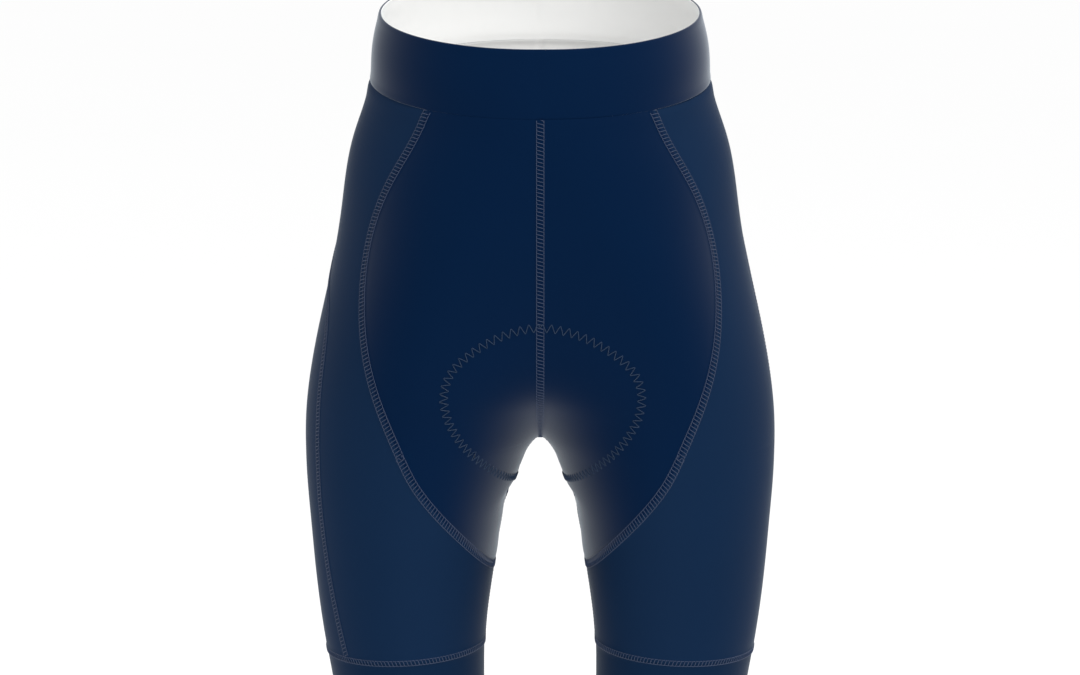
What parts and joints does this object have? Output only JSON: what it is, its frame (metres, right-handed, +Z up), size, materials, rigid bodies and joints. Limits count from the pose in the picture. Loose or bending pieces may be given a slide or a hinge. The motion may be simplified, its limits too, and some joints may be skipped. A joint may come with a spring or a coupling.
{
  "type": "cycling shorts",
  "caption": "Knee-length cycling shorts in worn, hollow form: wide waistband, curved front seams, thigh and back panels, leg bands.",
  "frame": {"origin": "middle of the waist opening, level with the side of its edge, where the wearer's waist holds the shorts", "axes": "+Z up out of the waist, -Y to the front of the shorts, +X to the wearer's left leg"},
  "size_m": [0.367, 0.2368, 0.5794],
  "materials": {
    "panel_knit": "smooth warp knit of nylon and elastane with a broad soft sheen, white on the inside",
    "thigh_knit": "smooth warp knit of nylon and elastane with a soft sheen, white on the inside",
    "waistband_knit": "firm double knit band, white on the inside",
    "leg_band_knit": "firm elastic band, white on the inside",
    "thread": "muted slate sewing thread"
  },
  "bodies": {
    "root": {"waistband": "waistband_knit", "front_panel_left": "panel_knit", "front_panel_right": "panel_knit", "thigh_panel_left": "thigh_knit", "thigh_panel_right": "thigh_knit", "back_panel_left": "thigh_knit", "back_panel_right": "thigh_knit", "leg_band_left": "leg_band_knit", "leg_band_right": "leg_band_knit"}
  },
  "joints": []
}
